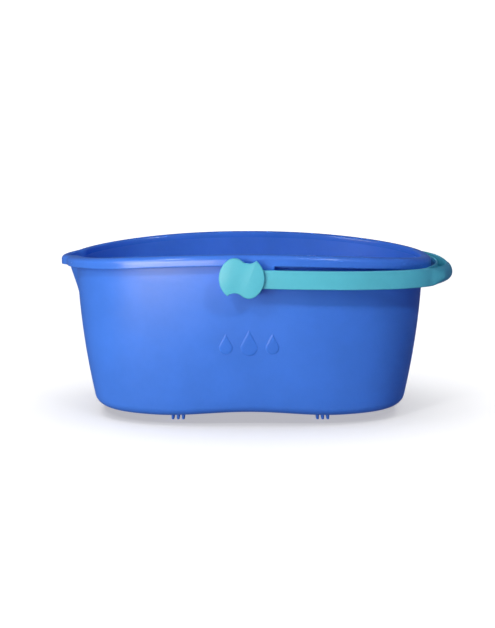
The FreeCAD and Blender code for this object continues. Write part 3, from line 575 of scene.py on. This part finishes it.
def trough_section(width, low, high):
    """A trough open at the top, with a full outer face and a rounded lower edge."""
    half = TROUGH_WALL * 0.5

    def face(z):
        share = min(max((z - low) / (high - low), 0.0), 1.0)
        return width + TROUGH_BULGE * math.sin(math.pi * share) ** BULGE_POWER

    points = arc_points(TROUGH_SOFT, low + TROUGH_SOFT, TROUGH_SOFT, 180.0, 270.0, 4)
    lower = arc_points(width - TROUGH_ROUND, low + TROUGH_ROUND, TROUGH_ROUND, 270.0, 360.0, 8)
    points += [(d + face(z) - width, z) for d, z in lower]
    points += [(face(z), z) for z in (mix(low, high, share) for share in (0.42, 0.55, 0.7, 0.84))]
    points += arc_points(width - half, high - half, half, 0.0, 180.0, 6)
    near, far = TROUGH_WALL, width - TROUGH_WALL
    top, corner = high - half, high - TROUGH_DEPTH + TROUGH_FILLET
    points += [(far, mix(top, corner, share)) for share in (0.3, 0.65)]
    points += arc_points(far - TROUGH_FILLET, corner, TROUGH_FILLET, 0.0, -90.0, 4)
    points += arc_points(near + TROUGH_FILLET, corner, TROUGH_FILLET, -90.0, -180.0, 4)
    points += [(near, mix(top, corner, share)) for share in (0.65, 0.3)]
    points += arc_points(half, top, half, 0.0, 180.0, 6)
    return points


def handle_row(turn):
    """The handle's section in a direction, set at its place."""
    inner, outer = strap_edges(turn)
    right = max(outer * math.cos(turn), 0.0)
    low, high = STRAP_LOW - FALL_LOW * right, STRAP_HIGH - FALL_HIGH * right
    width = outer - inner
    open_share = 1.0 - smooth_step(OPEN_TO, OPEN_FROM, abs(math.degrees(turn)))
    strap = strap_section(width, low, high)
    trough = trough_section(max(width, TROUGH_LEAST), low, high + 0.5)
    row = []
    for (d1, z1), (d2, z2) in zip(strap, trough):
        reach = inner + mix(d1, d2, open_share)
        row.append((reach * math.cos(turn), reach * math.sin(turn), mix(z1, z2, open_share)))
    return row


end_turn = math.atan2(143.0, PIVOT_X - 3.0)  # the arms end just past the pivot, inside the eyes
handle_mesh = bmesh.new()
stations = [mix(-end_turn, end_turn, k / STATIONS) for k in range(STATIONS + 1)]
add_skin(handle_mesh, [handle_row(turn) for turn in stations])
inner, outer = strap_edges(0.0)
print(f"{len(stations)} sections of {len(handle_row(0.0))} points, "
      f"grip {outer - inner:.1f} mm wide without its bulge")

# %% [markdown]
# ## Eyes and collars
# Each arm ends in a round eye, thicker inwards by a collar that bears on the boss. A small lug
# beside it comes to rest on a peg of the boss when the handle is down.

# %% Eyes
EYE_RADIUS, EYE_BACK, EYE_FACE = 15.5, 140.0, 146.3
COLLAR_RADIUS, COLLAR_BACK, COLLAR_FRONT = 11.0, 137.6, 142.0
for side in (-1.0, 1.0):
    round_rod(handle_mesh, PIVOT_X, PIVOT_Z, EYE_RADIUS, side * EYE_BACK, side * EYE_FACE, 72)
    back, front = side * COLLAR_BACK, side * COLLAR_FRONT
    round_rod(handle_mesh, PIVOT_X, PIVOT_Z, COLLAR_RADIUS, back, front, 56)
    round_rod(handle_mesh, PIVOT_X + STOP_CIRCLE, PIVOT_Z, STOP_RADIUS, back, front, 24)
print(f"eyes {2 * EYE_RADIUS:.0f} mm across and {EYE_FACE - COLLAR_BACK:.1f} mm thick")

# %% [markdown]
# ## The pivot caps
# A cap is a disc with two notches that give its edge an S on each side, and a pin behind it that
# snaps through the boss. The outline is six arcs, the same after half a turn. The disc's front
# edge is softened by four rings that step inwards along the outline's own normals, which is
# steadier than a bevel where a notch meets the disc in a point.

# %% Outline of a cap
CAP_RADIUS, LOBE_RADIUS, NOTCH_RADIUS, LOBE_OFFSET = 25.7, 12.6, 11.7, 8.1


def heading(point, centre):
    """Direction from a centre to a point, in degrees."""
    return math.degrees(math.atan2(point.y - centre.y, point.x - centre.x))


def cap_outline():
    """Points round the cap about its pivot, as seen from the front."""
    lobe_drop = math.sqrt((CAP_RADIUS - LOBE_RADIUS) ** 2 - LOBE_OFFSET**2)
    notch_drop = lobe_drop + math.sqrt((LOBE_RADIUS + NOTCH_RADIUS) ** 2 - (2 * LOBE_OFFSET) ** 2)
    lobe = Vector((-LOBE_OFFSET, lobe_drop))
    notch = Vector((LOBE_OFFSET, notch_drop))
    along = (CAP_RADIUS**2 - NOTCH_RADIUS**2 + notch.length_squared) / (2 * notch.length)
    aside = math.sqrt(CAP_RADIUS**2 - along**2)
    unit = notch.normalized()
    tip = unit * along + Vector((unit.y, -unit.x)) * aside
    half = []

    def sweep(centre, radius, start, end, steps):
        """Add an arc that goes the short way from one direction to the other."""
        end = start + (end - start + 180.0) % 360.0 - 180.0
        half.extend(arc_points(centre.x, centre.y, radius, start, end, steps)[:-1])

    origin = Vector((0.0, 0.0))
    touch = lobe.normalized() * CAP_RADIUS
    meet = lobe + (notch - lobe).normalized() * LOBE_RADIUS
    sweep(origin, CAP_RADIUS, heading(-tip, origin), heading(touch, origin), 34)
    sweep(lobe, LOBE_RADIUS, heading(touch, lobe), heading(meet, lobe), 20)
    sweep(notch, NOTCH_RADIUS, heading(meet, notch), heading(tip, notch), 16)
    return half + [(-u, -v) for u, v in half]


print(f"cap outline of {len(cap_outline())} points")


def inset_outline(points, amount):
    """Move every point inwards along the outline's normal."""
    moved = []
    for k, (u, v) in enumerate(points):
        before, after = Vector(points[k - 1]), Vector(points[(k + 1) % len(points)])
        along = (after - before).normalized()
        moved.append((u + along.y * amount, v - along.x * amount))
    return moved


# %% Caps and their pins
SPLIT_HALF = 1.5
# distance from the middle plane and radius: shank, snap lip and nose of the pin
PIN_RINGS = ((147.0, 7.0), (134.5, 7.0), (134.2, 8.1), (133.7, 8.3), (129.7, 6.5), (129.0, 6.0))
# inset of the outline and distance from the middle plane, from the disc's back to its face
DISC_RINGS = ((0.3, 146.3), (0.0, 146.6), (0.0, 148.7), (0.1, 149.1), (0.3, 149.4),
              (0.6, 149.62), (1.0, 149.7))


def add_pin_leg(mesh, side, half):
    """One of the pin's two snap legs: a D in section, on one side of the split."""
    rows = []
    for y, radius in PIN_RINGS:
        flat = math.degrees(math.acos(SPLIT_HALF / radius))
        rows.append([(PIVOT_X + half * u, side * y, PIVOT_Z + v)
                     for u, v in arc_points(0.0, 0.0, radius, -flat, flat, 22)])
    add_skin(mesh, rows)


def make_cap(node, side):
    """The cap that stands for a CAD node, on the front (-1) or the back (1)."""
    mesh = bmesh.new()
    outline = cap_outline()
    add_skin(mesh, [[(PIVOT_X + u, side * y, PIVOT_Z + v)
                     for u, v in inset_outline(outline, inset)] for inset, y in DISC_RINGS])
    for half in (-1.0, 1.0):
        add_pin_leg(mesh, side, half)
    finish_piece(node, mesh, [cap_plastic], "handle")


# %% [markdown]
# ## Moulded polypropylene
# Polypropylene is a slightly waxy plastic. Its colour is mixed through it, so there is no coat and
# no metal: an index of refraction of 1.49 and a satin roughness give its broad, soft highlights.
# Up close a mould leaves three marks. A grain of less than half a millimetre comes from the tool's
# surface, waves a few centimetres long come from cooling, and the edges are painted lighter,
# partly as wear from handling and partly as a painted highlight.
# Each mark is one noise pattern, and its scale is worked out from its size on the real part.
# A painted picture could hold the same marks, but it would need its own layout on each piece, and
# patterns in space run on over every edge.

# %% Colour and node helpers
def linear(code):
    """A hex colour as screens show it, turned into the linear values that a shader expects."""
    values = [int(code[k:k + 2], 16) / 255.0 for k in (1, 3, 5)]
    values = [v / 12.92 if v <= 0.04045 else ((v + 0.055) / 1.055) ** 2.4 for v in values]
    return (*values, 1.0)


def add_node(tree, kind, links=(), **settings):
    """Add a node, set its fields, and fill or link its inputs: (input, value or socket)."""
    made = tree.nodes.new(kind)
    for field, value in settings.items():
        setattr(made, field, value)
    for key, value in links:
        if isinstance(value, bpy.types.NodeSocket):
            tree.links.new(value, made.inputs[key])
        else:
            made.inputs[key].default_value = value
    return made


def per_mm(size):
    """Scale of a noise whose blobs are about size millimetres across."""
    return 1.0 / (size * MM)


# %% [markdown]
# ## Colour, wear and painted edge highlights
# The pigment comes first: one colour whose brightness drifts by a few per cent. The pale edges
# come from the Bevel node, which gives the normal as if every edge were rounded by 0.9 mm. Where
# that normal leaves the true one, there is an edge, and there the colour is painted a little
# paler: partly wear from handling, partly a painted highlight of the kind a rounded edge catches.


# %% Pigment and edges
def uneven_pigment(tree, place, base):
    """The colour, a little lighter and darker in patches as long as a finger."""
    patches = add_node(tree, "ShaderNodeTexNoise", [("Vector", place), ("Scale", per_mm(70.0)),
                                                    ("Detail", 4.0), ("Roughness", 0.55)])
    shade = add_node(tree, "ShaderNodeMapRange", [("Value", patches.outputs["Fac"]),
                                                  ("From Min", 0.3), ("From Max", 0.7),
                                                  ("To Min", 0.93), ("To Max", 1.06)])
    return add_node(tree, "ShaderNodeHueSaturation",
                    [("Color", base), ("Value", shade.outputs["Result"])]).outputs["Color"]


def edge_amount(tree, rounded):
    """0 on the open surface, rising towards 0.3 on an edge."""
    true = add_node(tree, "ShaderNodeNewGeometry").outputs["Normal"]
    agree = add_node(tree, "ShaderNodeVectorMath", [(0, rounded), (1, true)],
                     operation="DOT_PRODUCT")
    edge = add_node(tree, "ShaderNodeMapRange", [("Value", agree.outputs["Value"]),
                                                 ("From Min", 0.995), ("From Max", 0.86),
                                                 ("To Min", 0.0), ("To Max", 0.3)])
    return edge.outputs["Result"]


def worn_and_highlit_edges(tree, place, pigment, edge, base):
    """The pigment, painted paler on the edges in patches of a few millimetres: wear and a painted
    highlight.
    """
    patchy = add_node(tree, "ShaderNodeTexNoise", [("Vector", place), ("Scale", per_mm(9.0)),
                                                   ("Detail", 5.0), ("Roughness", 0.7)])
    # where an edge meets a patch the colour is painted paler: partly wear, partly a painted
    # highlight
    wear_and_highlight = add_node(tree, "ShaderNodeMath", [(0, edge), (1, patchy.outputs["Fac"])],
                    operation="MULTIPLY")
    pale = tuple(mix(v, 1.0, 0.15) for v in base[:3]) + (1.0,)
    # this node keeps a socket of each kind under the same name, so the colour ones go by number
    return add_node(tree, "ShaderNodeMix", [(0, wear_and_highlight.outputs["Value"]), (6, pigment), (7, pale)],
                    data_type="RGBA").outputs[2]


# %% [markdown]
# ## Shine and relief
# Wiping leaves long faint marks in the shine, so their pattern is stretched along the walls. The
# relief has two bumps in a row: shallow waves that bend the large reflections, and over them the
# tool's grain, which only breaks up a highlight's edge.


# %% Roughness and bumps
def wiped_roughness(tree, place, edge, roughness):
    """The roughness, varied by wipe marks and lower on the rubbed edges."""
    stretched = add_node(tree, "ShaderNodeVectorMath", [(0, place), (1, (0.25, 0.25, 1.6))],
                         operation="MULTIPLY").outputs["Vector"]
    wipes = add_node(tree, "ShaderNodeTexNoise", [("Vector", stretched), ("Scale", per_mm(12.0)),
                                                  ("Detail", 8.0), ("Roughness", 0.72)])
    dull = add_node(tree, "ShaderNodeMapRange", [("Value", wipes.outputs["Fac"]),
                                                 ("From Min", 0.35), ("From Max", 0.7),
                                                 ("To Min", roughness - 0.045),
                                                 ("To Max", roughness + 0.06)])
    return add_node(tree, "ShaderNodeMath", [(0, edge), (1, -0.12), (2, dull.outputs["Result"])],
                    operation="MULTIPLY_ADD", use_clamp=True).outputs["Value"]


def moulded_relief(tree, place, rounded, wave_depth):
    """The normal, bent by cooling waves about 5 cm long and a grain under half a millimetre."""
    waves = add_node(tree, "ShaderNodeTexNoise", [("Vector", place), ("Scale", per_mm(48.0)),
                                                  ("Detail", 2.0), ("Roughness", 0.4)])
    grain = add_node(tree, "ShaderNodeTexNoise", [("Vector", place), ("Scale", per_mm(0.45)),
                                                  ("Detail", 3.0), ("Roughness", 0.6)])
    swell = add_node(tree, "ShaderNodeBump", [("Height", waves.outputs["Fac"]), ("Strength", 1.0),
                                              ("Distance", wave_depth * MM), ("Normal", rounded)])
    skin = add_node(tree, "ShaderNodeBump", [("Height", grain.outputs["Fac"]), ("Strength", 0.35),
                                             ("Distance", 0.02 * MM),
                                             ("Normal", swell.outputs["Normal"])])
    return skin.outputs["Normal"]


# %% [markdown]
# ## One plastic, four settings
# The parts now meet in one shader. Each piece adds its own offset to the patterns' place, so that
# no two pieces show the same patch.


# %% Moulded polypropylene
def moulded_polypropylene(name, colour, roughness, wave_depth, seed):
    """A satin plastic; wave_depth is the height of the cooling waves in millimetres."""
    material = bpy.data.materials.new(name)
    material.use_nodes = True
    tree = material.node_tree
    tree.nodes.clear()
    place = add_node(tree, "ShaderNodeTexCoord").outputs["Object"]
    offset = (seed, seed * 0.7, seed * 0.3)
    place = add_node(tree, "ShaderNodeVectorMath", [(0, place), (1, offset)],
                     operation="ADD").outputs["Vector"]
    bevel = add_node(tree, "ShaderNodeBevel", [("Radius", 0.9 * MM)], samples=6)
    rounded = bevel.outputs["Normal"]
    base = linear(colour)
    edge = edge_amount(tree, rounded)
    pigment = uneven_pigment(tree, place, base)
    shader = add_node(tree, "ShaderNodeBsdfPrincipled",
                      [("Base Color", worn_and_highlit_edges(tree, place, pigment, edge, base)),
                       ("Roughness", wiped_roughness(tree, place, edge, roughness)),
                       ("IOR", 1.49),
                       ("Normal", moulded_relief(tree, place, rounded, wave_depth))])
    add_node(tree, "ShaderNodeOutputMaterial", [("Surface", shader.outputs["BSDF"])])
    return material


# the large walls are satin and wavy, which gives the eye their thinness
tub_plastic = moulded_polypropylene("moulded_polypropylene_tub", "#437ee8", 0.37, 0.4, 3.1)
# the rim is stiffer and worn smooth, so its highlight is a narrow line that draws the oval
rim_plastic = moulded_polypropylene("moulded_polypropylene_rim", "#437ee8", 0.23, 0.05, 5.7)
# handle and caps share a paler colour, and the small difference says that they are two mouldings
handle_plastic = moulded_polypropylene("moulded_polypropylene_handle", "#5ac3d7", 0.35, 0.25, 8.3)
cap_plastic = moulded_polypropylene("moulded_polypropylene_cap", "#5ac1d5", 0.34, 0.2, 11.9)
print(f"{len(bpy.data.materials)} materials")

# %% [markdown]
# ## From meshes to pieces
# Each mesh now becomes an object. It rides on the body it belongs to, so that posing the handle
# takes it along, and it stands in for the CAD node of the same piece.

# %% Pieces
finish_piece("bucket_shell", shell_mesh, [tub_plastic, rim_plastic], "bucket")
finish_piece("carry_handle", handle_mesh, [handle_plastic], "handle")
make_cap("front_pivot_cap", -1.0)
make_cap("rear_pivot_cap", 1.0)

# %% [markdown]
# ## The floor
# The floor is a pale sheet that bends up into a wall all the way round, so there is no horizon
# from any side. It has a painted glow: a little under the tub, which keeps the shadow there pale
# and soft, and more strongly far away, where the wall should vanish into white. It throws no light
# back on the bucket: that part is left to a lamp, whose place and colour can be chosen.


# %% Floor
def round_sweep(flat, bend, top, steps=96):
    """A flat disc that bends up into a wall all the way round."""
    profile = [(0.4, 0.0), (flat * 0.5, 0.0), (flat, 0.0)]
    profile += [(flat + u, bend + v) for u, v in arc_points(0.0, 0.0, bend, -90.0, 0.0, 16)[1:]]
    profile += [(flat + bend, top)]
    mesh = bmesh.new()
    rings = []
    for radius, height in profile:
        rings.append([mesh.verts.new((x, y, height)) for x, y in
                      arc_points(0.0, 0.0, radius, 0.0, 360.0, steps)[:-1]])
    mesh.faces.new(rings[0])
    for here, there in zip(rings, rings[1:]):
        # the faces look up and inwards
        for k in range(steps):
            n = (k + 1) % steps
            mesh.faces.new((here[k], there[k], there[n], here[n]))
    data = bpy.data.meshes.new("floor")
    mesh.to_mesh(data)
    mesh.free()
    for polygon in data.polygons:
        polygon.use_smooth = True
    sheet = bpy.data.objects.new("floor", data)
    bpy.context.scene.collection.objects.link(sheet)
    return sheet


def glowing_paper(name, colour, near_glow, far_glow):
    """Matt paper with a painted glow, stronger far from the object than under it."""
    material = bpy.data.materials.new(name)
    material.use_nodes = True
    tree = material.node_tree
    tree.nodes.clear()
    place = add_node(tree, "ShaderNodeTexCoord").outputs["Object"]
    distance = add_node(tree, "ShaderNodeVectorMath", [(0, place)], operation="LENGTH")
    glow = add_node(tree, "ShaderNodeMapRange", [("Value", distance.outputs["Value"]),
                                                 ("From Min", 0.5), ("From Max", 2.5),
                                                 ("To Min", near_glow), ("To Max", far_glow)])
    # the emission is a painted glow: it keeps the shadow under the tub pale and makes the far wall
    # white
    shader = add_node(tree, "ShaderNodeBsdfPrincipled",
                      [("Base Color", linear(colour)), ("Roughness", 0.9),
                       ("Emission Color", linear("#fffcf4")),
                       ("Emission Strength", glow.outputs["Result"])])
    add_node(tree, "ShaderNodeOutputMaterial", [("Surface", shader.outputs["BSDF"])])
    return material


floor = round_sweep(flat=3.0, bend=1.0, top=4.0)
paper = glowing_paper("floor_paper", "#c4c4c4", near_glow=0.46, far_glow=1.1)
floor.data.materials.append(paper)
floor.visible_diffuse = False
floor.visible_glossy = False
floor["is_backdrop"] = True
print(f"floor of {len(floor.data.polygons)} faces")

# %% [markdown]
# ## The light
# A large warm light from the left makes the left of the tub bright and lets the right end fall
# into shade. A long low one stands for the light that a white table throws back. Two small
# softboxes draw the streaks on the rim. A fill behind the bucket is for the views from there, and
# it draws no highlight, because it would lie as a white line on the near rim. The last lamp is for
# the floor alone. Light linking keeps the floor's light and the bucket's apart, so that each can
# be set without spoiling the other.


# %% Lights
WARM = "#fff2e0"


def area_light(name, place, aim, size, energy, colour="#ffffff"):
    """A rectangular lamp at a place, turned to face its aim."""
    data = bpy.data.lights.new(name, "AREA")
    data.shape = "RECTANGLE"
    data.size, data.size_y = size
    data.energy = energy
    data.color = linear(colour)[:3]
    lamp = bpy.data.objects.new(name, data)
    lamp.location = place
    lamp.rotation_euler = (Vector(aim) - Vector(place)).to_track_quat("-Z", "Y").to_euler()
    bpy.context.scene.collection.objects.link(lamp)
    return lamp


def light_only(lamp, name, receivers):
    """Let a lamp reach these objects and no others."""
    lit = bpy.data.collections.new(name)
    for receiver in receivers:
        lit.objects.link(receiver)
    lamp.light_linking.receiver_collection = lit


# name, place, aim and size in metres, watts
key = area_light("key", (-1.3, -1.35, 0.7), (0.0, 0.0, 0.1), (1.0, 0.9), 15.0, WARM)
bounce = area_light("bounce", (-0.75, -1.35, 0.1), (0.0, 0.0, 0.12), (1.2, 0.2), 11.5, WARM)
area_light("left_softbox", (-0.6, -1.0, 1.1), (0.0, 0.0, 0.15), (0.14, 0.14), 4.5)
area_light("right_softbox", (0.6, -1.0, 1.1), (0.0, 0.0, 0.15), (0.12, 0.12), 2.2)
back_fill = area_light("back_fill", (-0.5, 1.5, 0.6), (0.0, 0.0, 0.1), (1.2, 0.8), 9.0)
back_fill.visible_glossy = False
floor_light = area_light("floor_light", (0.0, 0.0, 1.9), (0.0, 0.0, 0.0), (2.4, 1.8), 50.0)
light_only(floor_light, "lit_by_floor_light", [floor])
for lamp in (key, bounce, back_fill):
    light_only(lamp, "lit_by_" + lamp.name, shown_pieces())

# the world is a dim blue, which keeps the shaded end of the tub blue and not grey
world = bpy.data.worlds.new("studio")
world.use_nodes = True
world.node_tree.nodes["Background"].inputs["Color"].default_value = linear("#7685ae")
world.node_tree.nodes["Background"].inputs["Strength"].default_value = 0.5
bpy.context.scene.world = world
bpy.context.scene.view_settings.view_transform = "Standard"
print(f"{len(bpy.data.lights)} lamps, {sum(data.energy for data in bpy.data.lights):.1f} W in all")
